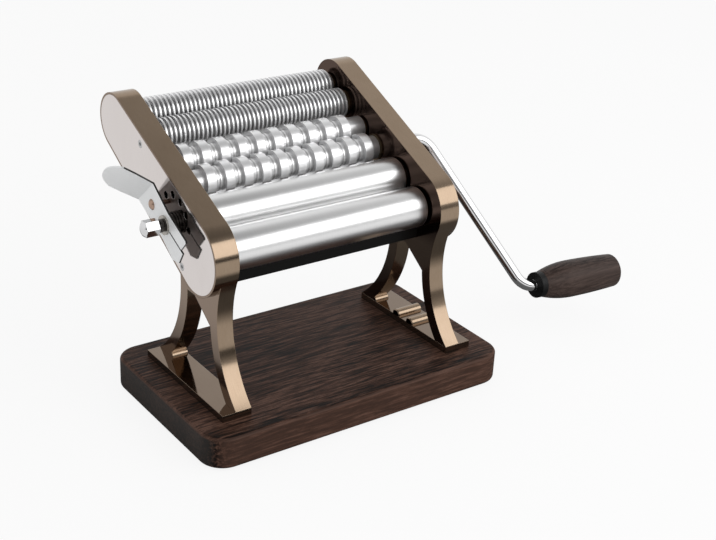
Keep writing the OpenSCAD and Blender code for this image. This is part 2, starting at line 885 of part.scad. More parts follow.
// Spacer between cover and lever, turned with ring grooves
module regulator_spacer() {
    ring_w = (lever_lift - pass) / (2 * spacer_rings - 1);
    color(steel) on_side(-1) at_regulator() difference() {
        union() {
            bar_x(spacer_d - 2 * spacer_groove, left_x + pass, lever_x);
            for (i = [0 : spacer_rings - 1]) translate([left_x + pass + 2 * i * ring_w, 0, 0])
                bar_x(spacer_d, 0, ring_w);
        }
        bar_x(reg_shaft_d + 2 * push_fit, left_x, lever_x + 1);
    }
}

// Flat outline of the lever: strip that widens to its bend, with a tail slit into two tongues
module lever_outline() {
    half = lever_w / 2;
    upper = half + lever_flare;
    difference() {
        polygon([
            [lever_bend + half * tan(bend_skew), -half],
            [lever_bend - upper * tan(bend_skew), upper],
            [0, half],
            [1 - tail_l, half],
            [-tail_l, half - 1],
            [tongue_slant - tail_l, slit_w],
            [-slit_y, slit_w],
            [-slit_y, 0],
            [-tail_l, 0],
            [1 - tail_l, 1 - half],
            [tail_chamfer - tail_l, -half - tail_flare],
            [0, -half]
        ]);
        circle(d = stud_d + 2 * push_fit);
        translate([index_r, 0]) circle(d = pin_tip_d + 2 * push_fit);
    }
}

// Paddle outline from the bend line to its round tip
module paddle_outline() {
    half = paddle_w / 2;
    tip_y = paddle_l - paddle_tip_r;
    polygon([
        [0, -fold_l / 2], [0, fold_l / 2], [tip_y, half],
        [tip_y + 1, half], [tip_y + 1, -half], [tip_y, -half]
    ]);
    intersection() {
        translate([tip_y, 0]) circle(paddle_tip_r);
        translate([tip_y, -half]) square([paddle_tip_r, paddle_w]);
    }
}

module regulator_lever() {
    color(steel) on_side(-1) at_regulator() {
        along_x(lever_x, lever_x + lever_t) lever_outline();
        translate([lever_x, fold_y, fold_z]) rotate([bend_skew, 0, 0]) rotate([0, 0, -paddle_bend])
            along_x(0, lever_t) paddle_outline();
    }
}

module detent_pin() {
    color(brassy) on_side(-1) at_regulator() translate([0, index_r, 0]) {
        bar_x(pin_tip_d, left_x + pass, washer_x);
        translate([washer_x, 0, 0]) turned() dome(pin_d / 2, pin_head_t);
    }
}

module regulator_washer() {
    color(steel) on_side(-1) at_regulator() difference() {
        bar_x(washer_d, washer_x, washer_x + washer_t);
        bar_x(stud_d + 2 * push_fit, washer_x - 1, washer_x + washer_t + 1);
    }
}

module regulator_nut() {
    color(steel) on_side(-1) at_regulator() difference() {
        intersection() {
            hex_x(nut_af, nut_x, nut_x + nut_l);
            translate([nut_x, 0, 0]) turned() {
                square([nut_af, nut_l - nut_dome]);
                translate([0, nut_l - nut_dome]) intersection() {
                    translate([0, -nut_af / 2]) circle(nut_af / 2 + nut_dome);
                    square([nut_af, nut_dome]);
                }
            }
        }
        bar_x(stud_d + 2 * push_fit, nut_x - 1, nut_x + nut_l / 2);
    }
}

// Plane of the crank: X outward and Y from the axis towards the grip
module crank_plane() {
    translate([0, crank_y, crank_z]) rotate([crank_angle, 0, 0]) children();
}

// Moves from the end of one straight length of rod past a bend of the given angle, left or right
module past_bend(angle) {
    side = sign(angle) * bend_r;
    translate([0, side, 0]) rotate([0, 0, angle]) translate([0, -side, 0]) children();
}

// Rod bend of the given angle from the end of a straight length along X, a little thinner than the rod
module rod_bend(angle) {
    side = sign(angle);
    translate([0, side * bend_r, 0]) rotate([0, 0, side > 0 ? -90 : 90 + angle])
        rotate_extrude(angle = abs(angle)) translate([bend_r, 0]) circle(d = rod_d - 2 * bend_thin);
}

// Moves from the crank's plane to the start of its arm, with X along the arm
module arm_start() {
    translate([bend_x, 0, 0]) past_bend(arm_angle) children();
}

// Moves from the crank's plane to the end of the second bend, with X along the grip
module arm_end() {
    arm_start() translate([arm_l, 0, 0]) past_bend(-end_turn) children();
}

// Moves to the face of the grip's ferrule, with X along the grip
module grip_axis() {
    crank_plane() arm_end() translate([grip_lead, 0, 0]) children();
}

// Bore for the cross pin, square to the rod and in line with the socket's slot
module cross_pin_hole() {
    in_slot() translate([0, 0, -rod_d]) cylinder(d = cross_pin_d + 2 * push_fit, h = 2 * rod_d);
}

// Moves from the crank's plane to the cross pin, with Z along the pin
module in_slot() {
    rotate([head_tilt - crank_angle, 0, 0]) translate([cross_pin_x, 0, 0]) rotate([90, 0, 0]) children();
}

module cross_pin() {
    color(steel) crank_plane() in_slot()
        translate([0, 0, -cross_pin_l / 2]) cylinder(d = cross_pin_d, h = cross_pin_l);
}

module crank_rod() {
    color(steel) crank_plane() {
        difference() {
            bar_x(rod_d, drive_end - socket_depth + 1, bend_x + bend_lap);
            cross_pin_hole();
        }
        translate([bend_x, 0, 0]) rod_bend(arm_angle);
        arm_start() {
            bar_x(rod_d, -bend_lap, arm_l + bend_lap);
            translate([arm_l, 0, 0]) rod_bend(-end_turn);
        }
        arm_end() bar_x(rod_d, -bend_lap, grip_lead + rod_end);
    }
}

// Half outline of the grip: one arc up to its thickest place, a flatter one down to its rounded end
module grip_profile() {
    end_y = grip_l - grip_end_r;
    flat_r = plug_d / 2 + plug_rim;
    intersection() {
        swell_arc(swell - ferrule_l, (grip_d - grip_neck_d) / 2);
        translate([0, ferrule_l]) square([grip_d, swell - ferrule_l]);
    }
    intersection() {
        swell_arc(grip_l - swell, (grip_d - grip_tip_d) / 2);
        union() {
            translate([0, swell]) square([grip_d, end_y - swell]);
            translate([0, end_y - 1]) square([flat_r, grip_end_r + 1]);
            translate([flat_r, end_y]) circle(grip_end_r);
        }
    }
}

// Disc whose rim touches the grip's largest radius and falls off by rise over a length of reach
module swell_arc(reach, rise) {
    arc_r = (reach * reach + rise * rise) / (2 * rise);
    translate([grip_d / 2 - arc_r, swell]) circle(arc_r, $fn = 200);
}

module grip() {
    color(darkwood) grip_axis() difference() {
        turned() grip_profile();
        bar_x(grip_core, -1, grip_l);
        bar_x(clip_d + 2 * pass, grip_l - plug_t - clip_room, grip_l);
        bar_x(plug_d, grip_l - plug_t, grip_l + 1);
    }
}

module grip_ferrule() {
    color(black) grip_axis() difference() {
        bar_x(grip_neck_d, 0, ferrule_l);
        bar_x(grip_core, -1, ferrule_l + 1);
    }
}

module grip_clip() {
    color(steel) grip_axis() translate([grip_l - plug_t - clip_room, 0, 0]) difference() {
        bar_x(clip_d, pass, pass + clip_t);
        bar_x(rod_d + 2 * push_fit, 0, clip_room);
    }
}

module grip_plug() {
    color(darkwood) grip_axis() translate([grip_l - plug_t, 0, 0])
        bar_x(plug_d - 2 * push_fit, 0, plug_t);
}

wood_base();
base_pad();
left_foot_plate();
right_foot_plate();
foot_screws();
left_frame();
right_frame();
left_cover();
right_cover();
cover_screws();
left_bushes();
right_bushes();
lower_tie_rod();
upper_tie_rod();
tie_rod_screws();
front_scraper();
rear_scraper();
front_smooth_roller();
front_smooth_gear();
rear_roller_sleeves();
rear_smooth_roller();
rear_smooth_gear();
lower_wide_cutter();
lower_wide_gear();
upper_wide_cutter();
upper_wide_gear();
lower_fine_cutter();
lower_fine_gear();
upper_fine_cutter();
upper_fine_gear();
regulator_shaft();
regulator_spacer();
regulator_lever();
detent_pin();
regulator_washer();
regulator_nut();
crank_rod();
cross_pin();
grip_ferrule();
grip();
grip_clip();
grip_plug();
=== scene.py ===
"""Looks of a hand cranked pasta machine: bronze side frames, bright rollers and a dark wooden base."""
import json
import math

import bpy
from mathutils import Matrix, Vector


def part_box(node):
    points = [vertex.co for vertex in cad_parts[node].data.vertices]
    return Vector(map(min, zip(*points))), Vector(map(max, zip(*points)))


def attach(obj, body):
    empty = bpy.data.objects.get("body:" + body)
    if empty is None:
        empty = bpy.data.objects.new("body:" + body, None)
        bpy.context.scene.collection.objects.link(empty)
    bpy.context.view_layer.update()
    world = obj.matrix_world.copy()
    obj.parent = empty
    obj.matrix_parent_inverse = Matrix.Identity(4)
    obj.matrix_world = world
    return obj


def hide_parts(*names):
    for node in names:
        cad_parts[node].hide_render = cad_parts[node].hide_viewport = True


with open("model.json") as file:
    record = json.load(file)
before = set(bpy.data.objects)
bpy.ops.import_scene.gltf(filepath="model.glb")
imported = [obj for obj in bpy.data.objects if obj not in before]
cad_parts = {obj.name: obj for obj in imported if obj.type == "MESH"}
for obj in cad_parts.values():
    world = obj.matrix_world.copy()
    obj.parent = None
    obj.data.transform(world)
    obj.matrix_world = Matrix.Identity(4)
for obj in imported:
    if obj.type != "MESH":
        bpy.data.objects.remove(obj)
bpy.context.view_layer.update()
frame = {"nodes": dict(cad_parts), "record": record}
scene = bpy.context.scene
scene.view_settings.view_transform = "Standard"
MM = 0.001


def joint_of(body):
    """The record's joint that moves a body."""
    return next(j for j in frame["record"]["behaviour"]["joints"] if j["child"] == body)


# Camera fitted to the photograph

PHOTO_W = 716
FOCAL_PX = 1342.1
SENSOR_W = 36
CAMERA_AT = Vector((-0.44218, -0.64127, 0.44666))
YAW, PITCH, ROLL = 0.639722, 0.437393, 0.052654
NEAREST, FARTHEST = 0.01, 50


def add_camera():
    """Camera with the photograph's place, direction, tilt and focal length."""
    look = Vector((math.sin(YAW) * math.cos(PITCH), math.cos(YAW) * math.cos(PITCH), -math.sin(PITCH)))
    right = Vector((math.cos(YAW), -math.sin(YAW), 0))
    up = right.cross(look)
    tilted_right = math.cos(ROLL) * right + math.sin(ROLL) * up
    tilted_up = math.cos(ROLL) * up - math.sin(ROLL) * right
    data = bpy.data.cameras.new("photo_camera")
    data.sensor_width = SENSOR_W
    data.lens = FOCAL_PX * SENSOR_W / PHOTO_W
    data.clip_start, data.clip_end = NEAREST, FARTHEST
    camera = bpy.data.objects.new("photo_camera", data)
    scene.collection.objects.link(camera)
    turn = Matrix((tilted_right, tilted_up, -look)).transposed()
    camera.matrix_world = Matrix.Translation(CAMERA_AT) @ turn.to_4x4()
    scene.camera = camera


# Shader building blocks

# Places of the colour sockets on a Mix node
MIX_FACTOR, MIX_A, MIX_B, MIX_RESULT = 0, 6, 7, 2
BEVEL_SAMPLES = 6


class Graph:
    """Short calls for the nodes of a material or of the world. Colours are written without alpha."""

    def __init__(self, tree, coords):
        self.tree = tree
        self.coords = tree.nodes.new("ShaderNodeTexCoord").outputs[coords]

    def find(self, kind):
        """The first node of a kind."""
        return next(n for n in self.tree.nodes if n.type == kind)

    def put(self, socket, value):
        """Link another node's output to a socket, or set a constant on it."""
        if isinstance(value, bpy.types.NodeSocket):
            self.tree.links.new(value, socket)
        elif socket.type == "RGBA":
            socket.default_value = (*value, 1)
        else:
            socket.default_value = value

    def node(self, kind, links=(), **attributes):
        made = self.tree.nodes.new(kind)
        for key, value in attributes.items():
            setattr(made, key, value)
        for socket, value in links:
            self.put(made.inputs[socket], value)
        return made

    def stretched(self, scale, offset=(0, 0, 0), vector=None):
        """The coordinates, or another vector, scaled and then moved."""
        source = self.coords if vector is None else vector
        return self.node("ShaderNodeMapping", [
            ("Vector", source), ("Scale", scale), ("Location", offset)]).outputs[0]

    def sized(self, size_mm, vector=None):
        """Coordinates in which a pattern has about this size along X, Y and Z."""
        return self.stretched([1 / (MM * size) for size in size_mm], vector=vector)

    def part(self, axis, vector=None):
        """The X, Y or Z part of the coordinates or of another vector."""
        source = self.coords if vector is None else vector
        return self.node("ShaderNodeSeparateXYZ", [(0, source)]).outputs[axis]

    def noise(self, vector, scale=1.0, detail=3.0, roughness=0.55, distortion=0.0):
        return self.node("ShaderNodeTexNoise", [
            ("Vector", vector), ("Scale", scale), ("Detail", detail), ("Roughness", roughness),
            ("Distortion", distortion)]).outputs["Fac"]

    def ramp(self, factor, *stops):
        """Colours that follow a factor, from stops of a place and a colour."""
        made = self.node("ShaderNodeValToRGB", [("Fac", factor)])
        points = made.color_ramp.elements
        while len(points) < len(stops):
            points.new(0.5)
        for point, (place, colour) in zip(points, stops):
            point.position = place
            point.color = (*colour, 1)
        return made.outputs["Color"]

    def grey_ramp(self, factor, *stops):
        return self.ramp(factor, *((place, (level,) * 3) for place, level in stops))

    def span(self, factor, low, high, start=0.0, end=1.0):
        """A number that goes from low to high while the factor goes from start to end."""
        return self.node("ShaderNodeMapRange", [
            ("Value", factor), ("From Min", start), ("From Max", end), ("To Min", low),
            ("To Max", high)]).outputs[0]

    def calc(self, operation, a, b=0.0):
        return self.node("ShaderNodeMath", [(0, a), (1, b)], operation=operation).outputs[0]

    def weigh(self, a, b, share):
        """A share of one pattern and the rest of another."""
        return self.calc("ADD", self.calc("MULTIPLY", a, share), self.calc("MULTIPLY", b, 1 - share))

    def vector(self, operation, *values):
        """Vector arithmetic. A length is a number, and the rest are vectors."""
        made = self.node("ShaderNodeVectorMath", enumerate(values), operation=operation)
        return made.outputs["Value" if operation == "LENGTH" else "Vector"]

    def mix(self, factor, a, b, blend_type="MIX"):
        links = [(MIX_FACTOR, factor), (MIX_A, a), (MIX_B, b)]
        return self.node("ShaderNodeMix", links, data_type="RGBA", blend_type=blend_type).outputs[MIX_RESULT]


class Shader(Graph):
    """A material with one main shader."""

    def __init__(self, name):
        self.name = name
        self.material = bpy.data.materials.new(name)
        self.material.use_nodes = True
        super().__init__(self.material.node_tree, "Object")
        self.main = self.find("BSDF_PRINCIPLED")

    def set(self, **values):
        """Set the main shader's sockets, named with _ for each space."""
        for key, value in values.items():
            self.put(self.main.inputs[key.replace("_", " ")], value)

    def colour(self):
        """What the base colour is linked to so far."""
        return self.main.inputs["Base Color"].links[0].from_socket

    def bumpy(self, height, strength, depth, edge):
        """Normal of a surface with small bumps, whose edges look rounded off by a radius."""
        rounded = self.node("ShaderNodeBevel", [("Radius", edge)], samples=BEVEL_SAMPLES).outputs[0]
        return self.node("ShaderNodeBump", [
            ("Height", height), ("Strength", strength), ("Distance", depth), ("Normal", rounded)]).outputs[0]

    def facing(self, axis):
        """The part of the surface's normal that lies along X, Y or Z."""
        return self.part(axis, self.node("ShaderNodeNewGeometry").outputs["Normal"])

    def faces_along(self, axis):
        """1 where the surface faces along an axis, either way, and 0 elsewhere."""
        return self.span(self.calc("ABSOLUTE", self.facing(axis)), 0.0, 1.0, 0.7, 0.9)


# Kinds of metal

# Each cutter's body, and the tone of the painted shade on the floor of its grooves
CUTTERS = {"lower_wide_cutter": ("drive", 0.72), "upper_wide_cutter": ("upper_wide", 0.72),
           "lower_fine_cutter": ("lower_fine", 0.3), "upper_fine_cutter": ("upper_fine", 0.3)}

# Radii between which a cutter's painted groove shade fades from groove to crest
GROOVE_R, CREST_R = 7.95 * MM, 8.2 * MM

# Painted reflected light on the frames' painted-shade inner side: how much of the outer tone it has, by
# height in metres
INNER_PAINTED_LIGHT = ((0.05, 0.0), (0.07, 0.8), (0.09, 0.8), (0.1, 0.0))


def brushed_metal(name, dark, light, roughness, streak_mm, edge, depth=0.02 * MM):
    """Metal with fine streaks of a size along X, Y and Z."""
    s = Shader(name)
    fine = s.noise(s.sized(streak_mm), detail=4)
    cloud = s.noise(s.coords, scale=35, detail=2)
    tone = s.weigh(fine, cloud, 0.6)
    s.set(Base_Color=s.ramp(tone, (0.3, dark), (0.7, light)), Metallic=1.0,
          Roughness=s.span(tone, *roughness), Normal=s.bumpy(fine, 0.25, depth, edge))
    return s


def turned_metal(name, dark, light, roughness, lathe_mm, anisotropy):
    """Metal turned about X, with fine rings that vary along X."""
    s = Shader(name)
    rings = s.noise(s.stretched((1 / (MM * lathe_mm), 6, 6)), detail=5, roughness=0.7)
    cloud = s.noise(s.stretched((20, 60, 60)), detail=2)
    tone = s.weigh(rings, cloud, 0.7)
    around = s.node("ShaderNodeTangent", direction_type="RADIAL", axis="X").outputs[0]
    s.set(Base_Color=s.ramp(tone, (0.3, dark), (0.7, light)), Metallic=1.0,
          Roughness=s.span(tone, *roughness), Anisotropic=anisotropy, Tangent=around,
          Normal=s.bumpy(rings, 0.12, 0.01 * MM, 0.25 * MM))
    return s


def ringed_metal(node):
    """Bright turned metal of a cutter, with painted shade on the floor of its grooves."""
    body, groove_shade = CUTTERS[node]
    s = turned_metal("cutter_metal_" + node, (0.88, 0.88, 0.885), (0.97, 0.97, 0.975),
                     roughness=(0.28, 0.36), lathe_mm=0.25, anisotropy=0.2)
    # Painted shade in the grooves, by distance from the cutter's axis
    from_axis = s.vector("SUBTRACT", s.coords, joint_of(body)["pos_m"])
    radius = s.vector("LENGTH", s.vector("MULTIPLY", from_axis, (0, 1, 1)))
    tone = s.span(radius, groove_shade, 1.0, GROOVE_R, CREST_R)
    s.set(Base_Color=s.mix(1.0, s.colour(), tone, "MULTIPLY"), Metallic=0.85)
    return s


def side_shaded_metal(name, dark, light, outside_shade, inside_shade, roughness, streak_mm, edge):
    """Brushed metal with painted shade on its flat sides, which face along X, deepest on the inner side
    towards the rollers, where a band by height has painted reflected light.
    """
    s = brushed_metal(name, dark, light, roughness, streak_mm, edge)
    # Painted shade on the sides facing along X: the outer tone outside, and inside a darker tone lightened
    # by painted reflected light in a band by height
    outward = s.calc("MULTIPLY", s.facing("X"), s.calc("SIGN", s.part("X")))
    inner = s.mix(s.grey_ramp(s.part("Z"), *INNER_PAINTED_LIGHT), inside_shade, outside_shade)
    side = s.mix(s.span(outward, 0.0, 1.0, -0.1, 0.1), inner, outside_shade)
    s.set(Base_Color=s.mix(s.faces_along("X"), s.colour(), side))
    return s


def sheet_metal(name, dark, light, back_shade, edge_shade, roughness, streak_mm):
    """Bright sheet on its outer face, which looks towards -X, with painted shade on its cut edges and on its
    inner face.
    """
    s = brushed_metal(name, dark, light, roughness, streak_mm, 0.2 * MM)
    x = s.facing("X")
    # Painted shade on the inner face, which looks towards +X
    face = s.mix(s.span(x, 0.0, 1.0, -0.1, 0.1), s.colour(), back_shade)
    # Painted shade on the cut edges, between the two faces
    flat = s.span(s.calc("ABSOLUTE", x), 0.0, 1.0, 0.3, 0.45)
    s.set(Base_Color=s.mix(flat, edge_shade, face), Metallic=0.15)
    return s


# Kinds of wood, plastic and rubber

# End grain of the wood, and how far the wood's sides, with painted light, and eased edges, with a painted
# highlight, go to another tone
END_GRAIN = (0.026, 0.023, 0.021)
END_SHARE, SIDE_LIGHT_SHARE, EDGE_HIGHLIGHT_SHARE = 0.8, 0.4, 0.4

# How far the grain sways
SWAY_Y, SWAY_Z = 4 * MM, 3 * MM


def wood_grain(s, darkest, middle, lightest, grain_mm, pores):
    """Streaks along X, with dark pores and light flecks."""
    bend = s.noise(s.stretched((9, 30, 30)), detail=2)
    sway = s.node("ShaderNodeCombineXYZ", [
        ("Y", s.calc("MULTIPLY", bend, SWAY_Y)), ("Z", s.calc("MULTIPLY", bend, SWAY_Z))]).outputs[0]
    swayed = s.sized(grain_mm, s.vector("ADD", s.coords, sway))
    bands = s.noise(swayed, detail=4, roughness=0.6, distortion=0.3)
    wide = s.noise(s.stretched((5, 28, 28), (3, 1, 2)), detail=1)
    tone = s.weigh(bands, wide, 0.74)
    streaks = s.ramp(tone, (0.41, darkest), (0.49, middle), (0.59, lightest))
    pits = s.grey_ramp(pores, (0.36, 0.25), (0.48, 1.0))
    flecks = s.grey_ramp(pores, (0.62, 0.0), (0.74, 1.0))
    return s.mix(s.calc("MULTIPLY", flecks, 0.35), s.mix(1.0, streaks, pits, "MULTIPLY"), lightest)


def streaked_wood(name, darkest, middle, lightest, grain_mm, pore_mm, roughness):
    """Dark open-pored wood with its grain along X, greyer on its ends, with painted light on its sides and a
    painted highlight on its eased edges.
    """
    s = Shader(name)
    pores = s.noise(s.sized(pore_mm), detail=2, roughness=0.6)
    grained = wood_grain(s, darkest, middle, lightest, grain_mm, pores)
    # Painted light on the sides that face along Y
    side_lit = s.mix(s.calc("MULTIPLY", s.faces_along("Y"), SIDE_LIGHT_SHARE), grained, lightest)
    ended = s.mix(s.calc("MULTIPLY", s.faces_along("X"), END_SHARE), side_lit, END_GRAIN)
    # Painted highlight on the eased edges, which face partly up
    edge_highlight = s.grey_ramp(s.facing("Z"), (0.2, 0.0), (0.45, EDGE_HIGHLIGHT_SHARE), (0.85, EDGE_HIGHLIGHT_SHARE), (0.97, 0.0))
    s.set(Base_Color=s.mix(edge_highlight, ended, lightest), Roughness=s.span(pores, *roughness),
          Specular_IOR_Level=0.12, Normal=s.bumpy(pores, 0.35, 0.12 * MM, 0.4 * MM))
    return s


def speckled(name, dark, light, grain_mm, roughness, depth, gloss):
    """Plastic, rubber or black coating with a fine grain."""
    s = Shader(name)
    grain = s.noise(s.sized((grain_mm,) * 3), detail=3)
    s.set(Base_Color=s.ramp(grain, (0.35, dark), (0.65, light)), Roughness=s.span(grain, *roughness),
          Specular_IOR_Level=gloss, Normal=s.bumpy(grain, 0.4, depth, 0.3 * MM))
    return s


# Materials of the machine

# Nodes whose finish differs a little from the rest of their material slot
FINISHES = {"regulator_shaft": "dark_steel", "regulator_spacer": "dark_steel",
            "regulator_washer": "gear_steel", "detent_pin": "rivet_copper"}


def woods():
    return [
        streaked_wood("base_wood", (0.0045, 0.002, 0.0012), (0.047, 0.021, 0.0132), (0.118, 0.062, 0.044),
                      grain_mm=(24, 1.7, 1.7), pore_mm=(5, 0.35, 0.35), roughness=(0.45, 0.62)),
        streaked_wood("grip_wood", (0.014, 0.0085, 0.007), (0.039, 0.0255, 0.0215), (0.075, 0.051, 0.043),
                      grain_mm=(30, 1.6, 1.6), pore_mm=(6, 0.35, 0.35), roughness=(0.36, 0.5)),
    ]


def blacks():
    return [
        speckled("pad_rubber", (0.012, 0.012, 0.012), (0.03, 0.03, 0.03),
                 grain_mm=0.5, roughness=(0.7, 0.85), depth=0.2 * MM, gloss=0.4),
        speckled("ferrule_black", (0.003, 0.003, 0.003), (0.006, 0.006, 0.006),
                 grain_mm=0.3, roughness=(0.4, 0.5), depth=0.02 * MM, gloss=0.2),
        speckled("scraper_metal", (0.003, 0.003, 0.003), (0.006, 0.0055, 0.005),
                 grain_mm=0.4, roughness=(0.35, 0.45), depth=0.02 * MM, gloss=0.1),
    ]


def bronzes():
    return [
        # Frame bronze with painted shade on its flat sides
        side_shaded_metal("frame_bronze", (0.285, 0.209, 0.146), (0.35, 0.265, 0.192),
                         outside_shade=(0.23, 0.165, 0.122), inside_shade=(0.08, 0.05, 0.038),
                         roughness=(0.1, 0.17), streak_mm=(0.25, 6, 6), edge=0.45 * MM),
        brushed_metal("foot_bronze", (0.19, 0.142, 0.106), (0.225, 0.172, 0.131),
                      roughness=(0.05, 0.1), streak_mm=(0.3, 12, 12), edge=0.4 * MM, depth=0.004 * MM),
        turned_metal("bush_bronze", (0.13, 0.095, 0.06), (0.2, 0.15, 0.1),
                     roughness=(0.35, 0.5), lathe_mm=0.3, anisotropy=0.2),
        turned_metal("rivet_copper", (0.36, 0.25, 0.19), (0.46, 0.33, 0.26),
                     roughness=(0.18, 0.26), lathe_mm=0.3, anisotropy=0.2),
    ]


def turned_steels():
    return [
        turned_metal("screw_steel", (0.42, 0.42, 0.42), (0.56, 0.56, 0.56),
                     roughness=(0.22, 0.34), lathe_mm=0.3, anisotropy=0.3),
        turned_metal("rod_steel", (0.46, 0.455, 0.45), (0.6, 0.595, 0.59),
                     roughness=(0.16, 0.26), lathe_mm=0.3, anisotropy=0.4),
        turned_metal("roller_metal", (0.8, 0.8, 0.8), (0.88, 0.88, 0.88),
                     roughness=(0.25, 0.33), lathe_mm=0.35, anisotropy=0.3),
        turned_metal("dark_steel", (0.05, 0.046, 0.043), (0.11, 0.1, 0.095),
                     roughness=(0.22, 0.32), lathe_mm=0.3, anisotropy=0.3),
    ]


def brushed_steels():
    return [
        brushed_metal("cover_steel", (0.69, 0.635, 0.615), (0.74, 0.69, 0.67),
                      roughness=(0.06, 0.11), streak_mm=(3, 0.25, 12), edge=0.2 * MM, depth=0.003 * MM),
        # Lever sheet with painted shade on its inner face and cut edges
        sheet_metal("lever_steel", (0.91, 0.92, 0.925), (0.97, 0.98, 0.985),
                    back_shade=(0.3, 0.28, 0.27), edge_shade=(0.012, 0.011, 0.01),
                    roughness=(0.26, 0.34), streak_mm=(4, 4, 0.3)),
        brushed_metal("gear_steel", (0.36, 0.34, 0.31), (0.5, 0.47, 0.43),
                      roughness=(0.3, 0.42), streak_mm=(0.4, 2, 2), edge=0.15 * MM),
        brushed_metal("nut_chrome", (0.66, 0.66, 0.665), (0.74, 0.74, 0.745),
                      roughness=(0.05, 0.09), streak_mm=(1, 6, 6), edge=0.3 * MM, depth=0.003 * MM),
        brushed_metal("crank_chrome", (0.74, 0.74, 0.745), (0.8, 0.8, 0.805),
                      roughness=(0.04, 0.09), streak_mm=(8, 8, 8), edge=0.3 * MM, depth=0.003 * MM),
    ]


def make_materials():
    """Every material by name, apart from those of the cutters."""
    shaders = woods() + blacks() + bronzes() + turned_steels() + brushed_steels()
    return {shader.name: shader.material for shader in shaders}


def dress_nodes(materials):
    """Give each node its material: a cutter its own, and the rest that of their finish or slot."""
    slots = {entry["node"]: entry["material_slot"] for entry in frame["record"]["subparts"]}
    for name, item in frame["nodes"].items():
        finish = FINISHES.get(name, slots[name])
        material = ringed_metal(name).material if name in CUTTERS else materials[finish]
        item.data.materials.clear()
        item.data.materials.append(material)


# Small pieces that ride on the machine

def loft(rings):
    """Points and faces of a closed solid through rings with the same number of points."""
    count = len(rings[0])
    points = [point for ring in rings for point in ring]
    last = len(points) - count
    faces = []
    for start in range(0, last, count):
        for i in range(count):
            j = (i + 1) % count
            faces.append((start + i, start + j, start + count + j, start + count + i))
    faces.append(tuple(reversed(range(count))))
    faces.append(tuple(range(last, len(points))))
    return points, faces


def link_piece(name, rings, body, material):
    """A solid through rings of points, which rides on a body."""
    points, faces = loft(rings)
    mesh = bpy.data.meshes.new(name)
    mesh.from_pydata(points, [], faces)
    mesh.validate()
    piece = bpy.data.objects.new(name, mesh)
    scene.collection.objects.link(piece)
    mesh.materials.append(material)
    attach(piece, body)
    return piece


# Screw thread on the regulator's stud

THREAD_PITCH = 1.0 * MM
THREAD_HALF_W = 0.45 * MM
THREAD_ROOT_R, THREAD_CREST_R = 3.65 * MM, 4.1 * MM
THREAD_START, THREAD_END = -99.35 * MM, -102.25 * MM
TURN_STEPS = 48


def add_thread(material):
    """Ridge of a screw thread about X, bedded in its stud."""
    axis = joint_of("regulator")["pos_m"]
    length = THREAD_START - THREAD_END
    steps = round(length / THREAD_PITCH * TURN_STEPS)
    section = ((THREAD_HALF_W, THREAD_ROOT_R), (0.0, THREAD_CREST_R), (-THREAD_HALF_W, THREAD_ROOT_R))
    rings = []
    for i in range(steps + 1):
        x = THREAD_START - length * i / steps
        angle = 2 * math.pi * i / TURN_STEPS
        rings.append([(x + shift, axis[1] + radius * math.cos(angle), axis[2] + radius * math.sin(angle))
                      for shift, radius in section])
    link_piece("stud_thread", rings, "regulator", material)


# Black scraper bar under the front roller, with a hollow top that follows the roller

BAR_FRONT_Y, BAR_HOLLOW_Y = -9.0 * MM, -1.6 * MM
BAR_FOOT_Z = 91.0 * MM
BAR_EASE = 0.6 * MM
BAR_HOLLOW_R = 14.2 * MM
HOLLOW_STEPS = 10


def add_scraper(material):
    """The bar's section, drawn from its front foot along the underside, up its back and over the hollow."""
    low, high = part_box("front_scraper")
    axis = joint_of("front_roller")["pos_m"]
    back_y = high[1]
    section = [(BAR_FRONT_Y, BAR_FOOT_Z + BAR_EASE), (BAR_FRONT_Y + BAR_EASE, BAR_FOOT_Z),
               (back_y - BAR_EASE, BAR_FOOT_Z), (back_y, BAR_FOOT_Z + BAR_EASE), (back_y, low[2] + BAR_EASE)]
    for i in range(HOLLOW_STEPS + 1):
        y = BAR_HOLLOW_Y + (BAR_FRONT_Y - BAR_HOLLOW_Y) * i / HOLLOW_STEPS
        section.append((y, axis[2] - math.sqrt(BAR_HOLLOW_R ** 2 - (y - axis[1]) ** 2)))
    rings = [[(x, y, z) for y, z in section] for x in (low[0], high[0])]
    piece = link_piece("scraper_bar", rings, "machine", material)
    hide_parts("front_scraper")


# Fuller half-round ribs, fitted over the two on the right foot plate

CAD_RIB_R, RIB_R = 2.5 * MM, 3.8 * MM
RIB_PITCH = 15.0 * MM
RIB_BEDDED = 0.3 * MM
RIB_EASE = 0.5 * MM
RIB_STEPS = 16
SHARP_ANGLE = math.radians(30)


def add_rib(name, side, material):
    """Half-round rib along X with eased ends, on the near (-1) or far (1) side of the plate's middle."""
    low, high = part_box("right_foot_plate")
    y = (low[1] + high[1]) / 2 + side * RIB_PITCH / 2
    z = high[2] - CAD_RIB_R
    ends = ((low[0], RIB_R - RIB_EASE), (low[0] + RIB_EASE, RIB_R), (high[0] - RIB_EASE, RIB_R),
            (high[0], RIB_R - RIB_EASE))
    rings = []
    for x, radius in ends:
        ring = [(x, y - radius, z - RIB_BEDDED), (x, y + radius, z - RIB_BEDDED)]
        for i in range(RIB_STEPS + 1):
            angle = math.pi * i / RIB_STEPS
            ring.append((x, y + radius * math.cos(angle), z + radius * math.sin(angle)))
        rings.append(ring)
    piece = link_piece(name, rings, "machine", material)
    piece.data.shade_smooth()
    piece.data.set_sharp_from_angle(angle=SHARP_ANGLE)


def add_small_pieces(materials):
    add_scraper(materials["scraper_metal"])
    add_rib("foot_rib_near", -1, materials["frame_bronze"])
    add_rib("foot_rib_far", 1, materials["frame_bronze"])
    add_thread(materials["dark_steel"])


# Floor, which glows for the camera and for reflections and still takes the object's shadow

FLOOR_HALF = 4
FLOOR_DROP = 0.2 * MM
WHITE = (1.0, 1.0, 1.0)
GLOW_SHARE = 0.88

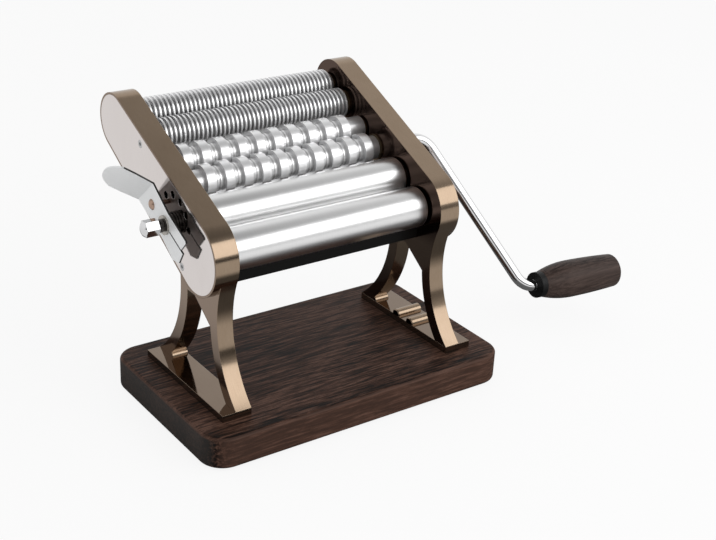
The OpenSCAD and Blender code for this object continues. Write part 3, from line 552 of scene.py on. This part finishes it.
# What reflections see of the floor: a painted shadow near the machine, and bright far away, to the left and
# in front
NEAR_LEVEL, FAR_LEVEL = 0.06, 0.9
NEAR_R, FAR_R = 0.24, 0.4
LEFT_X = (-0.16, -0.1)
FRONT_Y = (-0.18, -0.12)


def floor_material():
    s = Shader("floor_white")
    grain = s.noise(s.coords, scale=3, detail=2)
    s.set(Base_Color=s.grey_ramp(grain, (0.3, 0.86), (0.7, 0.88)), Roughness=0.9, Specular_IOR_Level=0.1)
    path = s.node("ShaderNodeLightPath").outputs
    mirrored = s.calc("MAXIMUM", path["Is Glossy Ray"], path["Is Transmission Ray"])
    seen = s.calc("MAXIMUM", path["Is Camera Ray"], mirrored)
    # Painted shadow near the machine on the floor that reflections see
    shadow_by_distance = s.grey_ramp(s.vector("LENGTH", s.coords), (NEAR_R, NEAR_LEVEL), (FAR_R, FAR_LEVEL))
    left = s.span(s.part("X"), FAR_LEVEL, 0.0, *LEFT_X)
    front = s.span(s.part("Y"), FAR_LEVEL, 0.0, *FRONT_Y)
    shaded_table = s.mix(1.0, shadow_by_distance, s.calc("MAXIMUM", left, front), "LIGHTEN")
    shown = s.mix(path["Is Camera Ray"], shaded_table, WHITE)
    glow = s.node("ShaderNodeEmission", [("Color", shown), ("Strength", 1.0)]).outputs[0]
    blend = s.node("ShaderNodeMixShader", [
        (0, s.calc("MULTIPLY", seen, GLOW_SHARE)), (1, s.main.outputs[0]), (2, glow)]).outputs[0]
    s.put(s.find("OUTPUT_MATERIAL").inputs["Surface"], blend)
    return s.material


def add_floor():
    corners = [(-FLOOR_HALF, -FLOOR_HALF, 0), (FLOOR_HALF, -FLOOR_HALF, 0), (FLOOR_HALF, FLOOR_HALF, 0),
               (-FLOOR_HALF, FLOOR_HALF, 0)]
    mesh = bpy.data.meshes.new("floor")
    mesh.from_pydata(corners, [], [(0, 1, 2, 3)])
    floor = bpy.data.objects.new("floor", mesh)
    floor.location.z = -FLOOR_DROP
    scene.collection.objects.link(floor)
    mesh.materials.append(floor_material())


# Studio: how bright it is behind the machine and in front of it, from level (0) to straight up (1)

BEHIND = ((0.0, 0.9), (0.35, 0.95), (0.72, 0.9), (0.83, 0.55), (0.92, 0.18), (1.0, 0.14))
IN_FRONT = ((0.0, 0.07), (0.08, 0.1), (0.2, 0.5), (0.62, 0.6), (0.8, 0.26), (0.92, 0.14), (1.0, 0.12))
RIGHT_LEVEL = (0.9, 0.9, 0.9)
DIFFUSE_LEVEL = (0.62, 0.62, 0.62)


def add_world():
    """White to the camera, even to diffuse light, and a studio with dark and bright parts to reflections."""
    world = bpy.data.worlds.new("studio")
    scene.world = world
    world.use_nodes = True
    g = Graph(world.node_tree, "Generated")
    height = g.part("Z")
    in_front = g.span(g.part("Y"), 1.0, 0.0, -0.25, 0.05)
    room = g.mix(in_front, g.grey_ramp(height, *BEHIND), g.grey_ramp(height, *IN_FRONT))
    room = g.mix(g.span(g.part("X"), 0.0, 0.6, 0.45, 0.8), room, RIGHT_LEVEL)
    path = g.node("ShaderNodeLightPath").outputs
    lit = g.mix(path["Is Diffuse Ray"], room, DIFFUSE_LEVEL)
    background = g.find("BACKGROUND")
    g.put(background.inputs["Color"], g.mix(path["Is Camera Ray"], lit, WHITE))
    g.put(background.inputs["Strength"], 1.0)


# One soft lamp, in front of the machine, above it and to its right

LAMP_AIM = Vector((0, 0, 0.1))
LAMP_SIDE = Vector((0.5, -0.72, 0.5)).normalized()
LAMP_DISTANCE = 1.2
LAMP_W, LAMP_H = 1.7, 0.8
LAMP_POWER = 7.5


def add_lamp():
    data = bpy.data.lights.new("front_box", "AREA")
    data.shape = "RECTANGLE"
    data.size, data.size_y = LAMP_W, LAMP_H
    data.energy = LAMP_POWER
    lamp = bpy.data.objects.new("front_box", data)
    scene.collection.objects.link(lamp)
    lamp.location = LAMP_AIM + LAMP_SIDE * LAMP_DISTANCE
    lamp.rotation_mode = "QUATERNION"
    lamp.rotation_quaternion = (-LAMP_SIDE).to_track_quat("-Z", "Y")
    lamp.visible_camera = False


materials = make_materials()
add_camera()
dress_nodes(materials)
add_small_pieces(materials)
add_floor()
add_world()
add_lamp()
